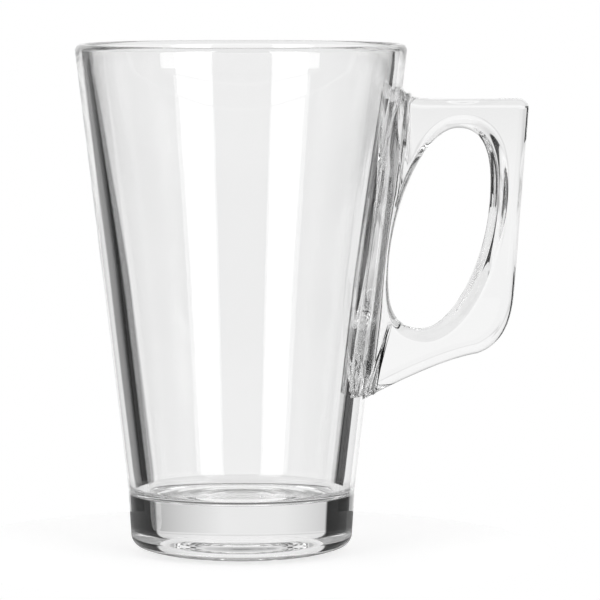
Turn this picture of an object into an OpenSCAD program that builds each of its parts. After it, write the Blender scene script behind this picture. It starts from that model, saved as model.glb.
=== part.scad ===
// Clear glass cappuccino mug: a tapered bowl on a heavy base, with a flat closed loop handle.
// Millimetres. The origin is on the bowl's axis at the resting plane, +Z is up and the handle is toward +X.

/* [Bowl] */
// Height from the resting plane to the rim
mug_h = 123; // [116:1:130]
// Outside diameter over the rim
rim_d = 80; // [77:0.5:84]
// Thickness of the wall at the rim
rim_wall = 3; // [2.4:0.1:3.6]
// Diameter at the top of the heavy base, where the taper starts
base_d = 55.4; // [53:0.2:58]
// Height of the heavy base's straighter band
base_h = 17; // [15:0.5:20]
// Height of the floor inside the bowl
floor_h = 13.8; // [11:0.2:15]
// Thickness of the wall in the lower half of the bowl
low_wall = 4.8; // [4:0.1:5.4]
// Height up to which the wall keeps that thickness
thick_h = 65; // [55:1:75]
// Radius of the rounded corner round the floor
floor_fillet = 3; // [1.5:0.5:4]
// Radius of the heel's corner
heel_r = 3.2; // [2.4:0.2:4]
// Outer diameter of the flat ring that the mug stands on
foot_d = 34.4; // [32.4:0.4:35.2]
// Diameter of the recess under the foot
punt_d = 29.6; // [25:0.2:30.4]
// Depth of the recess under the foot
punt_depth = 4.5; // [3:0.1:5.2]

/* [Handle] */
// Thickness of the handle's flat loop
handle_t = 11.5; // [10:0.5:13]
// Height of the handle's straight top edge
handle_top = 109.9; // [106:0.1:113]
// Reach of the handle's upper outer corner from the wall at mid height
handle_reach = 34.8; // [32.5:0.1:38]
// Radius of the rounding along the loop's outer edge
edge_r = 2; // [1:0.1:2.6]
// Radius of the rounding round the finger hole, at the grip
grip_r = 4.2; // [2:0.1:4.6]
// Spread of the root where it joins the wall
root_spread = 2.2; // [1:0.1:3]

/* [Hidden] */
$fn = 128;

// The bowl's outer taper runs straight from the base band to the rim's round edge
rim_round = rim_wall / 2;
rim_z = mug_h - rim_round;
cone_low_r = base_d / 2;
cone_slope = (rim_d / 2 - cone_low_r) / (rim_z - base_h);
function wall_r(z) = cone_low_r + cone_slope * (z - base_h);

// The base band leans less than the bowl, and a faint shoulder parts them
band_slope = 0.055;
shoulder_out = 0.15;
shoulder_h = 1.2;

// The heel sweeps up gently from the foot ring, then turns the corner into the base band
sweep_r = 21.6;
sweep_angle = 20.5;
sweep_end_r = foot_d / 2 + sweep_r * sin(sweep_angle);
sweep_end_z = sweep_r * (1 - cos(sweep_angle));
heel_x = sweep_end_r - heel_r * sin(sweep_angle);
heel_z = sweep_end_z + heel_r * cos(sweep_angle);

// The inside keeps the outer taper from the floor's rounded corner up, bends gently where the wall
// starts to thin, and runs straight on to the rim's round edge
inner_top = [rim_d / 2 - rim_wall, rim_z];
inner_bend = [wall_r(thick_h) - low_wall, thick_h];
bend_share = 0.35;
bend_above = inner_bend + (inner_top - inner_bend) * bend_share;
bend_below = inner_bend - [cone_slope, 1] * (bend_above[1] - thick_h);
inner_angle = atan(cone_slope);
fillet_z = floor_h + floor_fillet;
fillet_x = wall_r(fillet_z) - low_wall - floor_fillet / cos(inner_angle);

// The recess under the foot has a flat top and a rounded edge
punt_power = 8;
punt_steps = 12;
function punt_z(r) = punt_depth * (1 - pow(2 * r / punt_d, punt_power));
punt_line = [for (i = [0:punt_steps]) let (r = punt_d / 2 * sin(90 * i / punt_steps)) [r, punt_z(r)]];

function arc(x, y, r, from, to, steps) =
    [for (i = [0:steps]) let (a = from + (to - from) * i / steps) [x + r * cos(a), y + r * sin(a)]];
function bezier(a, b, c, d, t) =
    a * pow(1 - t, 3) + b * 3 * t * pow(1 - t, 2) + c * 3 * t * t * (1 - t) + d * pow(t, 3);
function curve(a, b, c, d, steps) = [for (i = [1:steps]) bezier(a, b, c, d, i / steps)];

module glass_body() {
    color("lightcyan")
    rotate_extrude()
    polygon(concat(
        punt_line,
        arc(foot_d / 2, sweep_r, sweep_r, -90, sweep_angle - 90, 6),
        arc(heel_x, heel_z, heel_r, sweep_angle - 90, -atan(band_slope), 8),
        [[cone_low_r - shoulder_out, base_h - shoulder_h]],
        [[cone_low_r, base_h]],
        arc(rim_d / 2 - rim_round, rim_z, rim_round, 0, 180, 12),
        [bend_above],
        curve(bend_above, inner_bend, inner_bend, bend_below, 6),
        arc(fillet_x, fillet_z, floor_fillet, -inner_angle, -90, 6),
        [[0, floor_h]]
    ));
}

// The handle is drawn in the plane through the bowl's axis.
// Its points are measured out from the wall at the handle's mid height, and up from its top edge.
drawn_reach = 34.8;
drawn_mid = -35;
mid_r = wall_r(handle_top + drawn_mid);
function at(x, z) = [mid_r + x * handle_reach / drawn_reach, handle_top + z];
function on_wall(z) = [wall_r(z), z];
function line(a, b, steps) = [for (i = [1:steps]) a + (b - a) * i / steps];
function all_but_last(list) = [for (i = [0:len(list) - 2]) list[i]];

// Outer outline: the roots on the wall, the straight top edge, the tight upper corner,
// the grip that leans in toward the base, and the broad lower corner
top_rise = 2.6;
root_drop = 72.4;
corner_r = 2.4;
grip_lean = 5;
top_root = on_wall(handle_top + top_rise);
low_root = on_wall(handle_top - root_drop);
top_start = at(10, 0);
corner = at(drawn_reach, 0) - [corner_r, corner_r];
grip_low = at(31.35, -47.4);
low_corner = at(22.6, -61.6);
corner_arc = arc(corner[0], corner[1], corner_r, 90, -grip_lean, 7);
edge_top = concat(
    curve(top_root, at(5.3, 0.9), at(6.9, 0), top_start, 6),
    all_but_last(line(top_start, corner + [0, corner_r], 7)),
    corner_arc);
edge_grip = line(corner_arc[7], grip_low, 9);
edge_low = concat(
    curve(grip_low, at(30.8, -54.9), at(28, -59.7), low_corner, 10),
    all_but_last(curve(low_corner, at(15.1, -62.9), at(5.1, -67.6), low_root, 12)));

// Finger hole: four curves that meet at its top, its grip side, its lowest point and its wall side.
// A place on it is a turn from 0 to 4, one for each curve, and the turns repeat.
hole_top = at(17.9, -7.2);
hole_grip = at(25.7, -20.4);
hole_low = at(9.1, -55.7);
hole_wall = at(1.05, -43.4);
function hole_curve(q, t) =
    q == 0 ? bezier(hole_top, at(23.9, -7.2), at(25.7, -12.9), hole_grip, t) :
    q == 1 ? bezier(hole_grip, at(25.7, -38.4), at(16.6, -55.7), hole_low, t) :
    q == 2 ? bezier(hole_low, at(3.1, -55.7), at(1.05, -51.9), hole_wall, t) :
    bezier(hole_wall, at(1.05, -27.4), at(9.4, -7.2), hole_top, t);
function hole(turn) = let (t = turn % 4) hole_curve(floor(t), t - floor(t));

// The rounding round the hole is broad at the grip and narrow along the wall,
// and takes up no more than a share of the loop's width
wall_round = 0.7;
grip_room = 0.58;
wall_room = 0.33;
function hole_round(turn) = wall_round + (grip_r - wall_round) * pow((1 + cos((turn - 1) * 90)) / 2, 0.7);

// Stations go round the loop. Each pairs a point of the outer outline with a turn of the hole.
turn_root = 3.42;
turn_corner = 4.55;
turn_grip = 5.5;
turn_low = 6.5;
turn_wall_low = 6.66;
turn_wall_high = 7.34;
wall_low_z = hole(turn_wall_low)[1];
wall_high_z = hole(turn_wall_high)[1];
function pairs(edge, from, to, steps) =
    [for (i = [0:len(edge) - 1]) [edge[i], from + (to - from) * (i + 1) / steps]];
free_stations = concat(
    pairs(edge_top, turn_root, turn_corner, len(edge_top)),
    pairs(edge_grip, turn_corner, turn_grip, len(edge_grip)),
    pairs(edge_low, turn_grip, turn_low, len(edge_low) + 1));
wall_stations = concat(
    [[low_root, turn_low]],
    pairs(line(low_root, on_wall(wall_low_z), 6), turn_low, turn_wall_low, 6),
    [for (turn = line(turn_wall_low, turn_wall_high, 10)) [on_wall(hole(turn)[1]), turn]],
    pairs(line(on_wall(wall_high_z), top_root, 7), turn_wall_high, turn_root + 4, 7));
stations = concat(free_stations, wall_stations);
n_free = len(free_stations);
n_all = len(stations);

// Both outlines run clockwise: the glass is to the right of the outer one and to the left of the hole
function unit(v) = v / norm(v);
function left_of(v) = [-v[1], v[0]];
function before(i) = stations[(i + n_all - 1) % n_all][0];
function after(i) = stations[(i + 1) % n_all][0];
function edge_inward(i) = -left_of(unit(after(i) - before(i)));
function hole_inward(turn) = left_of(unit(hole(turn + 0.01) - hole(turn - 0.01)));

// The root spreads as it nears the wall
spread_share = 0.7;
function spread(gap) = spread_share * root_spread * pow(max(1 - max(gap, 0) / root_spread, 0), 2);
function gap_at(p) = p[0] - wall_r(p[1]);

// Half of a cross-section, from the outer edge to the hole, as points [x, y, z]
edge_steps = 4;
hole_steps = 6;
side_steps = 8;
half_t = handle_t / 2;
function free_side(i) = [for (k = [0:edge_steps])
    let (a = 90 * k / edge_steps, p = stations[i][0] + edge_inward(i) * edge_r * (1 - cos(a)))
    [p[0], half_t - edge_r * (1 - sin(a)) + spread(gap_at(p)), p[1]]];
function wall_side(i) = let (
        o = stations[i][0],
        across = hole(stations[i][1]) - o,
        at_end = i == n_free || i == n_all - 1,
        step = (at_end ? unit(across) : [1, 0]) * min(root_spread, norm(across) / 2))
    [for (k = [0:edge_steps])
        let (t = k / edge_steps, p = o + step * t, y = half_t + spread(t * root_spread))
        [p[0] - (o[0] - sqrt(o[0] * o[0] - y * y)) * (1 - t), y, p[1]]];
function outer_side(i) = i < n_free ? free_side(i) : wall_side(i);
function hole_side(i) = let (
        turn = stations[i][1],
        room = norm(hole(turn) - stations[i][0]) * (i < n_free ? grip_room : wall_room),
        r = min(hole_round(turn), room))
    [for (k = [hole_steps:-1:0])
        let (a = 90 * k / hole_steps, p = hole(turn) + hole_inward(turn) * r * (1 - cos(a)))
        [p[0], half_t - r * (1 - sin(a)), p[1]]];

// The edge itself is flat on the free outline, and follows the bowl's curve along the wall
function edge_row(i) = let (first = outer_side(i)[0], wall_x = stations[i][0][0])
    [for (k = [1:side_steps - 1]) let (y = first[1] * (2 * k / side_steps - 1))
        [i < n_free ? first[0] : sqrt(wall_x * wall_x - y * y), y, first[2]]];
function mirrored(list) = [for (i = [len(list) - 1:-1:0]) [list[i][0], -list[i][1], list[i][2]]];
function section(i) = let (side = concat(outer_side(i), hole_side(i)))
    concat(side, mirrored(side), edge_row(i));

loop_points = [for (i = [0:n_all - 1]) each section(i)];
ring = len(section(0));
function corner_of(i, j) = (i % n_all) * ring + j % ring;
loop_faces = [for (i = [0:n_all - 1]) for (j = [0:ring - 1]) each [
    [corner_of(i, j), corner_of(i, j + 1), corner_of(i + 1, j + 1)],
    [corner_of(i, j), corner_of(i + 1, j + 1), corner_of(i + 1, j)]]];

module handle() {
    color("paleturquoise")
    polyhedron(points = loop_points, faces = loop_faces, convexity = 6);
}

glass_body();
handle();
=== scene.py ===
import math

import bmesh
import bpy
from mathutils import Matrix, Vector


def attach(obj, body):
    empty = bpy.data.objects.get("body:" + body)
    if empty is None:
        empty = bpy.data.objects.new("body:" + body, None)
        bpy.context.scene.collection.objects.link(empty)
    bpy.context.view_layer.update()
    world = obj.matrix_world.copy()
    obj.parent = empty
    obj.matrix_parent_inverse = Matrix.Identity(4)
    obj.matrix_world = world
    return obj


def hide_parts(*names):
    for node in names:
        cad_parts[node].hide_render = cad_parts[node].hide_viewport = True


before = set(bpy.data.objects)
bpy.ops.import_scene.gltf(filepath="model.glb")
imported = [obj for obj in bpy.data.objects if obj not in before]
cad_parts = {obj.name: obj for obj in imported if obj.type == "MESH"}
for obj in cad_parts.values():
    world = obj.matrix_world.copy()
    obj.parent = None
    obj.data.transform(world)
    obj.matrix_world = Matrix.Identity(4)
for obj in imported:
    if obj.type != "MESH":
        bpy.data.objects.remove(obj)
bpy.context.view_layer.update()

# Camera. It stands about a metre in front of the mug and a little above the rim,
# with the mug's axis left of the picture's middle and the handle to the right.
CAMERA_PLACE = (0.0142, -1.0, 0.148)
CAMERA_TILT = 85.03
PHOTO_FOCAL_PIXELS = 4145
PHOTO_PIXELS = 600
SENSOR_MM = 36

bpy.ops.object.select_all(action="DESELECT")
bpy.ops.object.camera_add(location=CAMERA_PLACE, rotation=(math.radians(CAMERA_TILT), 0, 0))
camera = bpy.context.object
camera.data.sensor_width = SENSOR_MM
camera.data.lens = SENSOR_MM * PHOTO_FOCAL_PIXELS / PHOTO_PIXELS
bpy.context.scene.camera = camera

# Bowl. A tapered bowl of clear soda-lime glass, pressed in a mould and fire-polished.
# The wall thickens from the round rim down to a heavy base,
# which stands on a flat ring round a recess. Sizes are in millimetres.
MM = 0.001
MUG_H = 123
RIM_R = 40
RIM_WALL = 3
BASE_R = 27.7
BASE_H = 17
FLOOR_H = 13.8
LOW_WALL = 4.8
THICK_H = 65
BEND_SHARE = 0.35
FLOOR_FILLET = 3
HEEL_R = 3.2
FOOT_R = 17.2
SWEEP_R = 21.6
SWEEP_ANGLE = 20.5
BAND_SLOPE = 0.055
SHOULDER_OUT = 0.15
SHOULDER_H = 1.2
PUNT_R = 14.8
PUNT_DEPTH = 4.5
PUNT_POWER = 8
RIPPLE = 0.02
RIPPLE_PITCH = 2.0
FLOOR_RIPPLE = 0.08
FLOOR_PITCH = 4.0
POLE_R = 1.2
CONE_SLOPE = (RIM_R - BASE_R) / (MUG_H - RIM_WALL / 2 - BASE_H)

# Steps along each stretch of the outline, and sides of the turned bowl
RIPPLE_STEPS = 96
FOOT_STEPS = 4
SWEEP_STEPS = 8
HEEL_STEPS = 14
BAND_STEPS = 5
CONE_STEPS = 24
RIM_STEPS = 20
INSIDE_STEPS = 8
BEND_STEPS = 12
FILLET_STEPS = 12
BOWL_SIDES = 192
BOWL_SMOOTH_ANGLE = 30


def wall_radius(z):
    return BASE_R + CONE_SLOPE * (z - BASE_H)


def arc(centre, radius, start, end, steps):
    points = []
    for i in range(steps + 1):
        angle = math.radians(start + (end - start) * i / steps)
        points.append((centre[0] + radius * math.cos(angle), centre[1] + radius * math.sin(angle)))
    return points


# The points between two ends, without the ends themselves
def straight(start, end, steps):
    return [(start[0] + (end[0] - start[0]) * i / steps, start[1] + (end[1] - start[1]) * i / steps)
            for i in range(1, steps)]


def bezier(a, b, c, d, t):
    s = 1 - t
    return tuple(a[i] * s ** 3 + 3 * b[i] * s * s * t + 3 * c[i] * s * t * t + d[i] * t ** 3 for i in (0, 1))


# The points of a curve after its start, with its end
def curve(a, b, c, d, steps):
    return [bezier(a, b, c, d, i / steps) for i in range(1, steps + 1)]


# The recess has a flat top and steep sides, and both it and the floor keep fine rings from the mould
def punt_height(r):
    dome = PUNT_DEPTH * (1 - (r / PUNT_R) ** PUNT_POWER)
    calm = min(1, (PUNT_R - r) / RIPPLE_PITCH)
    return dome + RIPPLE * calm * math.sin(2 * math.pi * r / RIPPLE_PITCH)


def floor_height(r):
    calm = min(1, (floor_r - r) / FLOOR_PITCH, r / FLOOR_PITCH)
    return FLOOR_H + FLOOR_RIPPLE * calm * math.sin(2 * math.pi * r / FLOOR_PITCH)


sweep_turn = math.radians(SWEEP_ANGLE)
sweep_end = (FOOT_R + SWEEP_R * math.sin(sweep_turn), SWEEP_R * (1 - math.cos(sweep_turn)))
heel_centre = (sweep_end[0] - HEEL_R * math.sin(sweep_turn), sweep_end[1] + HEEL_R * math.cos(sweep_turn))
heel = arc(heel_centre, HEEL_R, SWEEP_ANGLE - 90, -math.degrees(math.atan(BAND_SLOPE)), HEEL_STEPS)
band_top = (BASE_R - SHOULDER_OUT, BASE_H - SHOULDER_H)
cone_foot = (BASE_R, BASE_H)
rim_round = RIM_WALL / 2
rim = arc((RIM_R - rim_round, MUG_H - rim_round), rim_round, 0, 180, RIM_STEPS)
inner_top = rim[-1]
inner_bend = (wall_radius(THICK_H) - LOW_WALL, THICK_H)
bend_above = tuple(inner_bend[i] + (inner_top[i] - inner_bend[i]) * BEND_SHARE for i in (0, 1))
bend_reach = bend_above[1] - THICK_H
bend_below = (inner_bend[0] - CONE_SLOPE * bend_reach, THICK_H - bend_reach)
cone_angle = math.atan(CONE_SLOPE)
fillet_z = FLOOR_H + FLOOR_FILLET
fillet_centre = (wall_radius(fillet_z) - LOW_WALL - FLOOR_FILLET / math.cos(cone_angle), fillet_z)
fillet = arc(fillet_centre, FLOOR_FILLET, -math.degrees(cone_angle), -90, FILLET_STEPS)
floor_r = fillet[-1][0]

# The outline runs from the recess up the outside, over the rim and down the inside to the floor
profile = []
for step in range(RIPPLE_STEPS + 1):
    r = POLE_R + (PUNT_R - POLE_R) * step / RIPPLE_STEPS
    profile.append((r, punt_height(r)))
profile += straight(profile[-1], (FOOT_R, 0), FOOT_STEPS)
profile += arc((FOOT_R, SWEEP_R), SWEEP_R, -90, SWEEP_ANGLE - 90, SWEEP_STEPS)
profile += heel[1:]
profile += straight(heel[-1], band_top, BAND_STEPS) + [band_top, cone_foot]
profile += straight(cone_foot, rim[0], CONE_STEPS) + rim
profile += straight(inner_top, bend_above, INSIDE_STEPS) + [bend_above]
profile += curve(bend_above, inner_bend, inner_bend, bend_below, BEND_STEPS)
profile += straight(bend_below, fillet[0], INSIDE_STEPS) + fillet
for step in range(1, RIPPLE_STEPS):
    r = floor_r * (1 - step / RIPPLE_STEPS)
    profile.append((r, floor_height(r)))

bpy.ops.object.select_all(action="DESELECT")
bpy.ops.mesh.primitive_circle_add(vertices=BOWL_SIDES, radius=profile[0][0] * MM, fill_type="TRIFAN",
                                  location=(0, 0, profile[0][1] * MM))
bowl = bpy.context.object
bowl.name = "bowl"
bpy.ops.object.transform_apply(location=True, rotation=True, scale=True)
bpy.ops.object.mode_set(mode="EDIT")
bpy.ops.mesh.select_all(action="DESELECT")
bpy.ops.mesh.select_mode(type="EDGE")
bpy.ops.mesh.select_non_manifold()
for below, above in zip(profile, profile[1:]):
    rise = (above[1] - below[1]) * MM
    grow = above[0] / below[0]
    bpy.ops.mesh.extrude_edges_move(TRANSFORM_OT_translate={"value": (0, 0, rise)})
    bpy.ops.transform.resize(value=(grow, grow, 1))
bpy.ops.mesh.extrude_edges_move(TRANSFORM_OT_translate={"value": (0, 0, 0)})
bpy.ops.mesh.merge(type="CENTER")
bpy.ops.mesh.select_all(action="SELECT")
bpy.ops.mesh.normals_make_consistent(inside=False)
bpy.ops.object.mode_set(mode="OBJECT")
bpy.ops.object.shade_smooth_by_angle(angle=math.radians(BOWL_SMOOTH_ANGLE))


def from_hex(code):
    parts = [int(code[i:i + 2], 16) / 255 for i in (0, 2, 4)]
    return tuple(v / 12.92 if v <= 0.04045 else ((v + 0.055) / 1.055) ** 2.4 for v in parts) + (1,)


def add_node(tree, kind, links=None, **settings):
    node = tree.nodes.new(kind)
    for name, value in settings.items():
        if name in node.inputs:
            node.inputs[name].default_value = value
        else:
            setattr(node, name, value)
    for name, source in (links or {}).items():
        tree.links.new(source, node.inputs[name])
    return node


def new_material(name):
    material = bpy.data.materials.new(name)
    material.use_nodes = True
    material.node_tree.nodes.clear()
    return material


# Pressed soda-lime glass with a fire-polished surface. The eye sees what stands behind it, bent and sharp,
# a faint grey-green where the glass is deep, and slow waves that the mould left in the surface.
GLASS_IOR = 1.51
GLASS_COLOUR = "FCFCFC"
DEEP_COLOUR = "101814"
GLASS_ABSORPTION = 2.0
WAVE_LENGTH = 22
WAVE_DEPTH = 0.4
WAVE_STRENGTH = 0.03
glass = new_material("pressed_soda_lime_glass")
glass_tree = glass.node_tree
on_glass = add_node(glass_tree, "ShaderNodeTexCoord")
waves = add_node(glass_tree, "ShaderNodeTexNoise", {"Vector": on_glass.outputs["Object"]},
                 Scale=1 / (WAVE_LENGTH * MM), Detail=1.0)
wavy = add_node(glass_tree, "ShaderNodeBump", {"Height": waves.outputs["Fac"]},
                Strength=WAVE_STRENGTH, Distance=WAVE_DEPTH * MM)
polish = add_node(glass_tree, "ShaderNodeBsdfPrincipled", {"Normal": wavy.outputs["Normal"]},
                  Roughness=0.0, IOR=GLASS_IOR)
polish.inputs["Base Color"].default_value = from_hex(GLASS_COLOUR)
polish.inputs["Transmission Weight"].default_value = 1.0
depth = add_node(glass_tree, "ShaderNodeVolumeAbsorption",
                 Color=from_hex(DEEP_COLOUR), Density=GLASS_ABSORPTION)
add_node(glass_tree, "ShaderNodeOutputMaterial",
         {"Surface": polish.outputs["BSDF"], "Volume": depth.outputs["Volume"]})
bowl.data.materials.append(glass)
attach(bowl, "root")
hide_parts("glass_body")

# Handle. A flat closed loop of the same pressed glass, joined hot to the bowl along its root,
# which spreads onto the wall. The outer edge is softly rounded,
# and the side of the finger hole that the fingers grip is broadly rounded down to a slim lip.
HANDLE_T = 11.5
HALF_T = HANDLE_T / 2
HANDLE_TOP = 109.9
HANDLE_MID = 74.9
ROOT_TOP = 112.5
ROOT_LOW = 37.5
REACH = 34.8
CORNER_R = 2.4
GRIP_LEAN = 5
EDGE_R = 2.0
EDGE_DEPTH = 4.0
GRIP_R = 4.4
GRIP_FADE = 0.7
WALL_ROUND = 0.7
LIP_W = 1.3
LIP_T = 1.7
GRIP_ROOM = 0.58
WALL_ROOM = 0.33
ROOT_SPREAD = 2.2
SPREAD_SHARE = 0.7
ROOT_SINK = 0.08
mid_r = wall_radius(HANDLE_MID)

# Steps along each stretch of the loop, and round its section
ROOT_CURVE_STEPS = 24
TOP_STEPS = 28
CORNER_STEPS = 20
GRIP_STEPS = 88
LOW_CORNER_STEPS = 80
LOW_STEPS = 96
ROOT_LOW_STEPS = 20
ROOT_TOP_STEPS = 24
WALL_TURN_STEPS = 40
EDGE_STEPS = 8
HOLE_STEPS = 18
SIDE_STEPS = 10
HANDLE_SMOOTH_ANGLE = 35


# A place on the loop, measured outward from the wall at the handle's middle and upward from its top
def at(x, z):
    return (mid_r + x, HANDLE_TOP + z)


def on_wall(z):
    return (wall_radius(z), z)


top_root = on_wall(ROOT_TOP)
low_root = on_wall(ROOT_LOW)
top_start = at(10, 0)
corner_centre = (mid_r + REACH - CORNER_R, HANDLE_TOP - CORNER_R)
corner_arc = arc(corner_centre, CORNER_R, 90, -GRIP_LEAN, CORNER_STEPS)
grip_low = at(31.35, -47.4)
low_corner = at(22.6, -61.6)
edge_top = curve(top_root, at(5.3, 0.9), at(6.9, 0), top_start, ROOT_CURVE_STEPS)
edge_top += straight(top_start, corner_arc[0], TOP_STEPS) + corner_arc
edge_grip = straight(corner_arc[-1], grip_low, GRIP_STEPS) + [grip_low]
edge_low = curve(grip_low, at(30.8, -54.9), at(28, -59.7), low_corner, LOW_CORNER_STEPS)
edge_low += curve(low_corner, at(15.1, -62.9), at(5.1, -67.6), low_root, LOW_STEPS)[:-1]

# The finger hole is four curves, from its top round the grip side, its foot and the wall side
HOLE = (
    (at(17.9, -7.2), at(23.9, -7.2), at(25.7, -12.9), at(25.7, -20.4)),
    (at(25.7, -20.4), at(25.7, -38.4), at(16.6, -55.7), at(9.1, -55.7)),
    (at(9.1, -55.7), at(3.1, -55.7), at(1.05, -51.9), at(1.05, -43.4)),
    (at(1.05, -43.4), at(1.05, -27.4), at(9.4, -7.2), at(17.9, -7.2)))
TURN_NUDGE = 0.01


def hole(turn):
    turn = turn % len(HOLE)
    return bezier(*HOLE[int(turn)], turn - int(turn))


# How far the rounding is the broad one of the grip side, from 1 there to 0 on the wall side
def grip_share(turn):
    return ((1 + math.cos(math.radians((turn - 1) * 90))) / 2) ** GRIP_FADE


# Each station of the loop pairs a point of the outer edge with a turn round the finger hole
TURN_ROOT = 3.42
TURN_CORNER = 4.55
TURN_GRIP = 5.5
TURN_LOW = 6.5
TURN_WALL_LOW = 6.66
TURN_WALL_HIGH = 7.34


def pair_up(edge, first, last, steps):
    return [(edge[i], first + (last - first) * (i + 1) / steps) for i in range(len(edge))]


free_stations = pair_up(edge_top, TURN_ROOT, TURN_CORNER, len(edge_top))
free_stations += pair_up(edge_grip, TURN_CORNER, TURN_GRIP, len(edge_grip))
free_stations += pair_up(edge_low, TURN_GRIP, TURN_LOW, len(edge_low) + 1)
wall_low = on_wall(hole(TURN_WALL_LOW)[1])
wall_high = on_wall(hole(TURN_WALL_HIGH)[1])
root_below = straight(low_root, wall_low, ROOT_LOW_STEPS) + [wall_low]
root_above = straight(wall_high, top_root, ROOT_TOP_STEPS) + [top_root]
wall_stations = [(low_root, TURN_LOW)]
wall_stations += pair_up(root_below, TURN_LOW, TURN_WALL_LOW, len(root_below))
for step in range(1, WALL_TURN_STEPS + 1):
    turn = TURN_WALL_LOW + (TURN_WALL_HIGH - TURN_WALL_LOW) * step / WALL_TURN_STEPS
    wall_stations.append((on_wall(hole(turn)[1]), turn))
wall_stations += pair_up(root_above, TURN_WALL_HIGH, TURN_ROOT + len(HOLE), len(root_above))
stations = free_stations + wall_stations
n_free = len(free_stations)


def unit(x, z):
    size = math.hypot(x, z)
    return (x / size, z / size)


# Both of these point from an edge into the glass
def edge_inward(i):
    before = stations[i - 1][0]
    after = stations[(i + 1) % len(stations)][0]
    x, z = unit(after[0] - before[0], after[1] - before[1])
    return (z, -x)


def hole_inward(turn):
    before = hole(turn - TURN_NUDGE)
    after = hole(turn + TURN_NUDGE)
    x, z = unit(after[0] - before[0], after[1] - before[1])
    return (-z, x)


# How much the root widens at a distance from the wall
def spread(gap):
    return SPREAD_SHARE * ROOT_SPREAD * max(1 - max(gap, 0) / ROOT_SPREAD, 0) ** 2


def free_side(i):
    edge = stations[i][0]
    inward = edge_inward(i)
    side = []
    for step in range(EDGE_STEPS + 1):
        angle = math.radians(90 * step / EDGE_STEPS)
        deep = EDGE_R * (1 - math.cos(angle))
        x = edge[0] + inward[0] * deep
        z = edge[1] + inward[1] * deep
        y = HALF_T - EDGE_DEPTH * (1 - math.sin(angle)) + spread(x - wall_radius(z))
        side.append((x, y, z))
    return side


def wall_side(i):
    root, turn = stations[i]
    mouth = hole(turn)
    gap = math.dist(root, mouth)
    out = (1, 0)
    if i in (n_free, len(stations) - 1):
        out = unit(mouth[0] - root[0], mouth[1] - root[1])
    reach = min(ROOT_SPREAD, gap / 2)
    side = []
    for step in range(EDGE_STEPS + 1):
        share = step / EDGE_STEPS
        y = HALF_T + spread(share * ROOT_SPREAD)
        sunk = root[0] - math.sqrt((root[0] - ROOT_SINK) ** 2 - y * y)
        x = root[0] + out[0] * reach * share - sunk * (1 - share)
        side.append((x, y, root[1] + out[1] * reach * share))
    return side


def hole_side(i):
    root, turn = stations[i]
    mouth = hole(turn)
    inward = hole_inward(turn)
    grip = grip_share(turn)
    room = GRIP_ROOM if i < n_free else WALL_ROOM
    radius = min(WALL_ROUND + (GRIP_R - WALL_ROUND) * grip, math.dist(root, mouth) * room)
    lip_w = LIP_W * radius / GRIP_R
    side = []
    for step in range(HOLE_STEPS, -1, -1):
        angle = math.radians(90 * step / HOLE_STEPS)
        deep = radius * (1 - math.cos(angle))
        blunt = HALF_T * math.sin(angle)
        if deep < lip_w:
            slim = LIP_T * math.sqrt(1 - (1 - deep / lip_w) ** 2)
        else:
            rise = (deep - lip_w) / (radius - lip_w)
            slim = LIP_T + (HALF_T - LIP_T) * rise * rise * (3 - 2 * rise)
        y = blunt + (slim - blunt) * grip ** 2
        side.append((mouth[0] + inward[0] * deep, y, mouth[1] + inward[1] * deep))
    return side


# Two points near the ends of the flat face keep its shading flat
FACE_SUPPORT = 0.06


def between(start, end, share):
    return tuple(start[k] + (end[k] - start[k]) * share for k in range(3))


def section(i):
    outer = free_side(i) if i < n_free else wall_side(i)
    inner = hole_side(i)
    face = [between(outer[-1], inner[0], share) for share in (FACE_SUPPORT, 1 - FACE_SUPPORT)]
    front = outer + face + inner
    back = [(x, -y, z) for x, y, z in reversed(front[:-1])]
    first = outer[0]
    edge = []
    for step in range(1, SIDE_STEPS):
        y = first[1] * (2 * step / SIDE_STEPS - 1)
        x = first[0]
        if i >= n_free:
            x = math.sqrt((stations[i][0][0] - ROOT_SINK) ** 2 - y * y)
        edge.append((x, y, first[2]))
    return [Vector(p) * MM for p in front + back + edge]


bpy.ops.object.select_all(action="DESELECT")
bpy.ops.mesh.primitive_circle_add(vertices=len(section(0)), radius=HALF_T * MM)
handle = bpy.context.object
handle.name = "loop_handle"
bpy.ops.object.mode_set(mode="EDIT")
loop_mesh = bmesh.from_edit_mesh(handle.data)
for i in range(len(stations)):
    if i:
        bpy.ops.mesh.extrude_edges_move()
        loop_mesh = bmesh.from_edit_mesh(handle.data)
    ring = [v for v in loop_mesh.verts if v.select]
    for vertex, place in zip(ring, section(i)):
        vertex.co = place
    bmesh.update_edit_mesh(handle.data)
bpy.ops.mesh.select_all(action="DESELECT")
bpy.ops.mesh.select_non_manifold()
bpy.ops.mesh.bridge_edge_loops()
bpy.ops.mesh.select_all(action="SELECT")
bpy.ops.mesh.normals_make_consistent(inside=False)
bpy.ops.object.mode_set(mode="OBJECT")
bpy.ops.object.shade_smooth_by_angle(angle=math.radians(HANDLE_SMOOTH_ANGLE))
handle.data.materials.append(glass)
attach(handle, "root")
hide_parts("handle")

# Table. A small round table top, painted matt white, lies just under the standing ring.
# It takes the mug's soft shadow, and glows as white as the background so that its edge hardly shows.
# From here on, sizes are in metres.
TABLE_R = 0.075
TABLE_SIDES = 128
TABLE_DROP = 0.0002
TABLE_PAINT = "B0B0B0"
TABLE_GLOW = "D8D8D8"
REFLECTED = 0.2

# Through the glass, the table is seen only near the base, with soft rings of painted shade, given below
OPEN_R = 0.036
UNDER_BASE = 1.3
SHADE_RINGS = ((0, "FFFFFF"), (0.013, "FFFFFF"), (0.018, "B8B8B8"), (0.0215, "484848"), (0.024, "484848"),
               (0.026, "F4F4F4"), (0.029, "F4F4F4"), (0.0305, "303030"), (0.0345, "303030"),
               (OPEN_R, "FFFFFF"))

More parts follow.
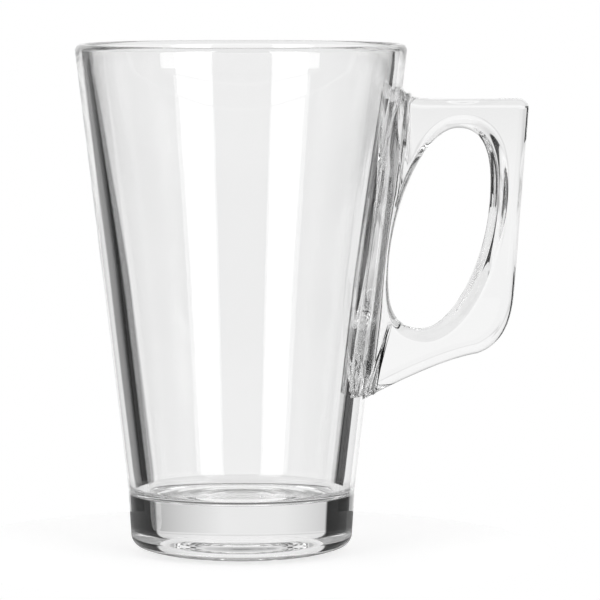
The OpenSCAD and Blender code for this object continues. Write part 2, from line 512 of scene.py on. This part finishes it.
bpy.ops.object.select_all(action="DESELECT")
bpy.ops.mesh.primitive_circle_add(vertices=TABLE_SIDES, radius=TABLE_R, fill_type="NGON",
                                  location=(0, 0, -TABLE_DROP))
table = bpy.context.object
table.name = "table_top"


# How white the background is for each ray: full for the camera, dim in reflections,
# and through glass as bright as the value on the second socket that this returns
def background_white(tree):
    rays = add_node(tree, "ShaderNodeLightPath")
    mirrored = add_node(tree, "ShaderNodeMath", {0: rays.outputs["Is Glossy Ray"]}, operation="MULTIPLY")
    mirrored.inputs[1].default_value = REFLECTED
    straight_on = add_node(tree, "ShaderNodeMath", {0: rays.outputs["Is Camera Ray"], 1: mirrored.outputs[0]},
                           operation="MAXIMUM")
    passed = add_node(tree, "ShaderNodeMath", {0: rays.outputs["Is Transmission Ray"]}, operation="MULTIPLY")
    white = add_node(tree, "ShaderNodeMath", {0: straight_on.outputs[0], 1: passed.outputs[0]},
                     operation="MAXIMUM")
    return white.outputs[0], passed.inputs[1]


# A tone for each value between first and last
def fade(tree, value, first, last, stops):
    share = add_node(tree, "ShaderNodeMapRange", {"Value": value})
    share.inputs["From Min"].default_value = first
    share.inputs["From Max"].default_value = last
    ramp = add_node(tree, "ShaderNodeValToRGB", {"Fac": share.outputs[0]})
    while len(ramp.color_ramp.elements) < len(stops):
        ramp.color_ramp.elements.new(0.5)
    for element, (at_value, code) in zip(ramp.color_ramp.elements, stops):
        element.position = (at_value - first) / (last - first)
        element.color = from_hex(code)
    return ramp.outputs[0]


# Matt white paint. The eye sees an even white that darkens softly where the mug keeps the light off it, while
# through the glass it shows the painted rings of shade.
table_paint = new_material("matt_white_table_with_painted_shade")
table_tree = table_paint.node_tree
on_table = add_node(table_tree, "ShaderNodeTexCoord")
from_axis = add_node(table_tree, "ShaderNodeVectorMath", {0: on_table.outputs["Object"]}, operation="LENGTH")
# Painted rings of shade, raised by UNDER_BASE, that only rays coming through the glass see
shade = fade(table_tree, from_axis.outputs["Value"], 0, OPEN_R, SHADE_RINGS)
table_white, through_base = background_white(table_tree)
lift = add_node(table_tree, "ShaderNodeMath", {0: shade}, operation="MULTIPLY")
lift.inputs[1].default_value = UNDER_BASE
table_tree.links.new(lift.outputs[0], through_base)
tint = add_node(table_tree, "ShaderNodeMix", {"Factor": table_white}, data_type="RGBA")
tint.inputs[6].default_value = from_hex("000000")
tint.inputs[7].default_value = from_hex(TABLE_PAINT)
matt = add_node(table_tree, "ShaderNodeBsdfDiffuse", {"Color": tint.outputs[2]})
table_glow = add_node(table_tree, "ShaderNodeEmission", {"Strength": table_white}, Color=from_hex(TABLE_GLOW))
lit_table = add_node(table_tree, "ShaderNodeAddShader", {0: matt.outputs[0], 1: table_glow.outputs[0]})
beyond = add_node(table_tree, "ShaderNodeMath", {0: from_axis.outputs["Value"]}, operation="GREATER_THAN")
beyond.inputs[1].default_value = OPEN_R
table_rays = add_node(table_tree, "ShaderNodeLightPath")
hidden = add_node(table_tree, "ShaderNodeMath",
                  {0: beyond.outputs[0], 1: table_rays.outputs["Is Transmission Ray"]}, operation="MULTIPLY")
clear = add_node(table_tree, "ShaderNodeBsdfTransparent")
table_look = add_node(table_tree, "ShaderNodeMixShader",
                      {0: hidden.outputs[0], 1: lit_table.outputs[0], 2: clear.outputs[0]})
add_node(table_tree, "ShaderNodeOutputMaterial", {"Surface": table_look.outputs[0]})
table.data.materials.append(table_paint)

# Backdrop. A curved white screen stands well behind the mug and ends in dark flags at both sides,
# as a photographer sets them to draw dark lines down the edges of clear glass.
# Tones go by the angle round the mug, in bands of height that the bowl's top, its middle and the base show.
SCREEN_R = 2.0
SCREEN_SIDES = 180
SCREEN_LOW = -0.52
SCREEN_HIGH = 1.3
SCREEN_HALF = 62
SCREEN_GLOW = 1.03
HIGH_TONES = ((-SCREEN_HALF, "202020"), (-38, "181818"), (-36.5, "F0F0F0"), (-10, "FFFFFF"), (10, "FFFFFF"),
              (35.5, "E4E4E4"), (37, "202020"), (SCREEN_HALF, "303030"))
HIGH_FROM = (-0.1, -0.07)
MIDDLE_TONES = ((-SCREEN_HALF, "202020"), (-38, "181818"), (-36.5, "DEDEDE"), (-15, "FCFCFC"), (5, "FEFEFE"),
                (35.5, "BEBEBE"), (37, "202020"), (SCREEN_HALF, "303030"))
MIDDLE_FROM = (-0.17, -0.14)
LOW_TONES = ((-SCREEN_HALF, "181818"), (-44, "181818"), (-40, "5A5A5A"), (-33, "808080"), (-24, "8C8C8C"),
             (-22, "FFFFFF"), (33.5, "FFFFFF"), (35, "303030"), (SCREEN_HALF, "202020"))
DROP_END = 0.2
DROP_TONES = ((SCREEN_LOW, "EFEFEF"), (-0.46, "EFEFEF"), (-0.42, "FFFFFF"), (-0.02, "FCFCFC"),
              (0.03, "F4F4F4"), (0.06, "E8E8E8"), (0.075, "E2E2E2"), (0.14, "FFFFFF"), (DROP_END, "FFFFFF"))
BEHIND = 1
IN_FRONT = -1


# An upright strip of a cylinder round the mug, as far as half_turn to both sides of the way it faces
def curved_card(name, sides, radius, low, high, half_turn, facing):
    bpy.ops.object.select_all(action="DESELECT")
    bpy.ops.mesh.primitive_cylinder_add(vertices=sides, radius=radius, depth=high - low,
                                        end_fill_type="NOTHING", location=(0, 0, (high + low) / 2))
    card = bpy.context.object
    card.name = name
    bpy.ops.object.transform_apply(location=True)
    bpy.ops.object.mode_set(mode="EDIT")
    bpy.ops.mesh.select_all(action="DESELECT")
    card_mesh = bmesh.from_edit_mesh(card.data)
    for face in card_mesh.faces:
        middle = face.calc_center_median()
        face.select = abs(math.degrees(math.atan2(middle.x, facing * middle.y))) > half_turn
    bmesh.update_edit_mesh(card.data)
    bpy.ops.mesh.delete(type="FACE")
    bpy.ops.object.mode_set(mode="OBJECT")
    return card


# The angle round the mug in degrees, and the height
def angle_and_height(tree, facing):
    coords = add_node(tree, "ShaderNodeTexCoord")
    spot = add_node(tree, "ShaderNodeSeparateXYZ", {0: coords.outputs["Object"]})
    ahead = add_node(tree, "ShaderNodeMath", {0: spot.outputs["Y"]}, operation="MULTIPLY")
    ahead.inputs[1].default_value = facing
    swing = add_node(tree, "ShaderNodeMath", {0: spot.outputs["X"], 1: ahead.outputs[0]}, operation="ARCTAN2")
    degrees = add_node(tree, "ShaderNodeMath", {0: swing.outputs[0]}, operation="DEGREES")
    return degrees.outputs[0], spot.outputs["Z"]


# One tone below the stretch between two heights and another above it
def stack(tree, height, below, above, stretch):
    share = add_node(tree, "ShaderNodeMapRange", {"Value": height})
    share.inputs["From Min"].default_value = stretch[0]
    share.inputs["From Max"].default_value = stretch[1]
    joined = add_node(tree, "ShaderNodeMix", {"Factor": share.outputs[0]}, data_type="RGBA")
    tree.links.new(below, joined.inputs[6])
    tree.links.new(above, joined.inputs[7])
    return joined.outputs[2]


screen = curved_card("backdrop_screen", SCREEN_SIDES, SCREEN_R, SCREEN_LOW, SCREEN_HIGH, SCREEN_HALF, BEHIND)

# Lit screen cloth. The eye sees it only in the glass, as white bowl and base between dark edges.
screen_cloth = new_material("flagged_screen")
screen_tree = screen_cloth.node_tree
screen_angle, screen_height = angle_and_height(screen_tree, BEHIND)
high = fade(screen_tree, screen_angle, -SCREEN_HALF, SCREEN_HALF, HIGH_TONES)
middle = fade(screen_tree, screen_angle, -SCREEN_HALF, SCREEN_HALF, MIDDLE_TONES)
low = fade(screen_tree, screen_angle, -SCREEN_HALF, SCREEN_HALF, LOW_TONES)
drop = fade(screen_tree, screen_height, SCREEN_LOW, DROP_END, DROP_TONES)
low_and_middle = stack(screen_tree, screen_height, low, middle, MIDDLE_FROM)
screen_tone = stack(screen_tree, screen_height, low_and_middle, high, HIGH_FROM)
screen_strength = add_node(screen_tree, "ShaderNodeMath", {0: drop}, operation="MULTIPLY")
screen_strength.inputs[1].default_value = SCREEN_GLOW
screen_glow = add_node(screen_tree, "ShaderNodeEmission",
                       {"Color": screen_tone, "Strength": screen_strength.outputs[0]})
add_node(screen_tree, "ShaderNodeOutputMaterial", {"Surface": screen_glow.outputs[0]})
screen.data.materials.append(screen_cloth)

# Ceiling. A round card of grey felt hangs over the set and is dimmer straight above the mug.
# The rounded edges of the glass pick it up as fine grey lines.
CEILING_Z = 0.7
CEILING_R = 0.7
CEILING_SIDES = 64
CEILING_FELT = "D8D8D8"
DIM_R = 0.12
DIM_END_R = 0.3
DIM_SHARE = 0.5
bpy.ops.object.select_all(action="DESELECT")
bpy.ops.mesh.primitive_circle_add(vertices=CEILING_SIDES, radius=CEILING_R, fill_type="NGON",
                                  location=(0, 0, CEILING_Z))
ceiling = bpy.context.object
ceiling.name = "grey_ceiling"

# Grey felt. The eye sees it only as soft grey lines on the rim and in the base.
felt = new_material("grey_felt")
felt_tree = felt.node_tree
on_felt = add_node(felt_tree, "ShaderNodeTexCoord")
off_axis = add_node(felt_tree, "ShaderNodeVectorMath", {0: on_felt.outputs["Object"]}, operation="LENGTH")
felt_level = add_node(felt_tree, "ShaderNodeMapRange", {"Value": off_axis.outputs["Value"]})
felt_level.inputs["From Min"].default_value = DIM_R
felt_level.inputs["From Max"].default_value = DIM_END_R
felt_level.inputs["To Min"].default_value = DIM_SHARE
felt_glow = add_node(felt_tree, "ShaderNodeEmission", {"Strength": felt_level.outputs[0]},
                     Color=from_hex(CEILING_FELT))
add_node(felt_tree, "ShaderNodeOutputMaterial", {"Surface": felt_glow.outputs[0]})
ceiling.data.materials.append(felt)

# Room wall. The rest of the room, in front of the mug and at its sides, is painted a dim grey,
# so that the reflections in the glass stay quiet. It is lightest behind the camera.
WALL_R = SCREEN_R * 1.05
WALL_SIDES = 128
WALL_LOW = -0.12
WALL_HIGH = 1.4
WALL_HALF = 118
WALL_TONES = ((-WALL_HALF, "484848"), (-62, "383838"), (-44, "484848"), (-36, "989898"),
              (36, "989898"), (44, "484848"), (62, "383838"), (WALL_HALF, "484848"))
walls = curved_card("room_wall", WALL_SIDES, WALL_R, WALL_LOW, WALL_HIGH, WALL_HALF, IN_FRONT)

# Dim wall paint. The eye sees it only as the quiet grey that the glass reflects.
wall_paint = new_material("dim_wall_paint")
wall_tree = wall_paint.node_tree
wall_angle = angle_and_height(wall_tree, IN_FRONT)[0]
wall_tone = fade(wall_tree, wall_angle, -WALL_HALF, WALL_HALF, WALL_TONES)
wall_glow = add_node(wall_tree, "ShaderNodeEmission", {"Color": wall_tone}, Strength=1.0)
add_node(wall_tree, "ShaderNodeOutputMaterial", {"Surface": wall_glow.outputs[0]})
walls.data.materials.append(wall_paint)

# Side flag. A card covered in black cloth stands beyond the handle.
# It draws the dark line down the far edge of the solid base.
FLAG_MIDDLE = (1.5, 0.3, 0.05)
FLAG_WIDE = 1.0
FLAG_TALL = 0.5
FLAG_CLOTH = "303030"
bpy.ops.object.select_all(action="DESELECT")
bpy.ops.mesh.primitive_plane_add(size=1, location=FLAG_MIDDLE, rotation=(0, math.radians(90), 0))
flag = bpy.context.object
flag.name = "side_flag"
bpy.ops.transform.resize(value=(1, FLAG_WIDE, FLAG_TALL))
bpy.ops.object.transform_apply(location=True, rotation=True, scale=True)

# Black flag cloth. The eye sees it only as a dark line in the glass.
flag_cloth = new_material("black_flag_cloth")
flag_tree = flag_cloth.node_tree
flag_glow = add_node(flag_tree, "ShaderNodeEmission", Color=from_hex(FLAG_CLOTH), Strength=1.0)
add_node(flag_tree, "ShaderNodeOutputMaterial", {"Surface": flag_glow.outputs[0]})
flag.data.materials.append(flag_cloth)

# The cards show in the glass alone, and neither light the table nor shade it
for card in (screen, ceiling, walls, flag):
    card.visible_camera = False
    card.visible_diffuse = False
    card.visible_shadow = False

# Soft boxes. Two tall soft lights stand in front, left and right of the camera.
# They draw the pale strips down the bowl, and leave the handle out, where their glints would hide its edges.
BOX_DISTANCE = 1.1
BOX_ANGLE = 40
BOX_WIDE = 0.62
BOX_TALL = 1.0
BOX_MIDDLE = 0.4
BOX_WATTS = 6.0
lit = bpy.data.collections.new("lit_by_soft_boxes")
lit.objects.link(bowl)
lit.objects.link(table)
for side in (-1, 1):
    angle = math.radians(BOX_ANGLE) * side
    box_place = Vector((BOX_DISTANCE * math.sin(angle), -BOX_DISTANCE * math.cos(angle), BOX_MIDDLE))
    bpy.ops.object.light_add(type="AREA", location=box_place)
    lamp = bpy.context.object
    lamp.data.shape = "RECTANGLE"
    lamp.data.size = BOX_WIDE
    lamp.data.size_y = BOX_TALL
    lamp.data.energy = BOX_WATTS
    lamp.rotation_euler = (Vector((0, 0, BOX_MIDDLE)) - box_place).to_track_quat("-Z", "Y").to_euler()
    lamp.visible_camera = False
    lamp.light_linking.receiver_collection = lit

# Room. An even white background, a little dimmer through the glass, and a soft even light for the table.
# Light crosses many faces of the thick base before it leaves, so many bounces are followed.
SOFT_LIGHT = 0.6
THROUGH_GLASS = 0.89
LIGHT_BOUNCES = 128
world = bpy.data.worlds.new("white_room")
bpy.context.scene.world = world
world.use_nodes = True
room_tree = world.node_tree
room_tree.nodes.clear()
room_white, through_glass = background_white(room_tree)
through_glass.default_value = THROUGH_GLASS
room_rays = add_node(room_tree, "ShaderNodeLightPath")
soft = add_node(room_tree, "ShaderNodeMath", {0: room_rays.outputs["Is Diffuse Ray"]}, operation="MULTIPLY")
soft.inputs[1].default_value = SOFT_LIGHT
room_level = add_node(room_tree, "ShaderNodeMath", {0: room_white, 1: soft.outputs[0]}, operation="MAXIMUM")
backdrop = add_node(room_tree, "ShaderNodeBackground", {"Strength": room_level.outputs[0]},
                    Color=from_hex("FFFFFF"))
add_node(room_tree, "ShaderNodeOutputWorld", {"Surface": backdrop.outputs[0]})

scene = bpy.context.scene
scene.view_settings.view_transform = "Standard"
scene.cycles.max_bounces = LIGHT_BOUNCES
scene.cycles.transmission_bounces = LIGHT_BOUNCES
scene.cycles.glossy_bounces = LIGHT_BOUNCES
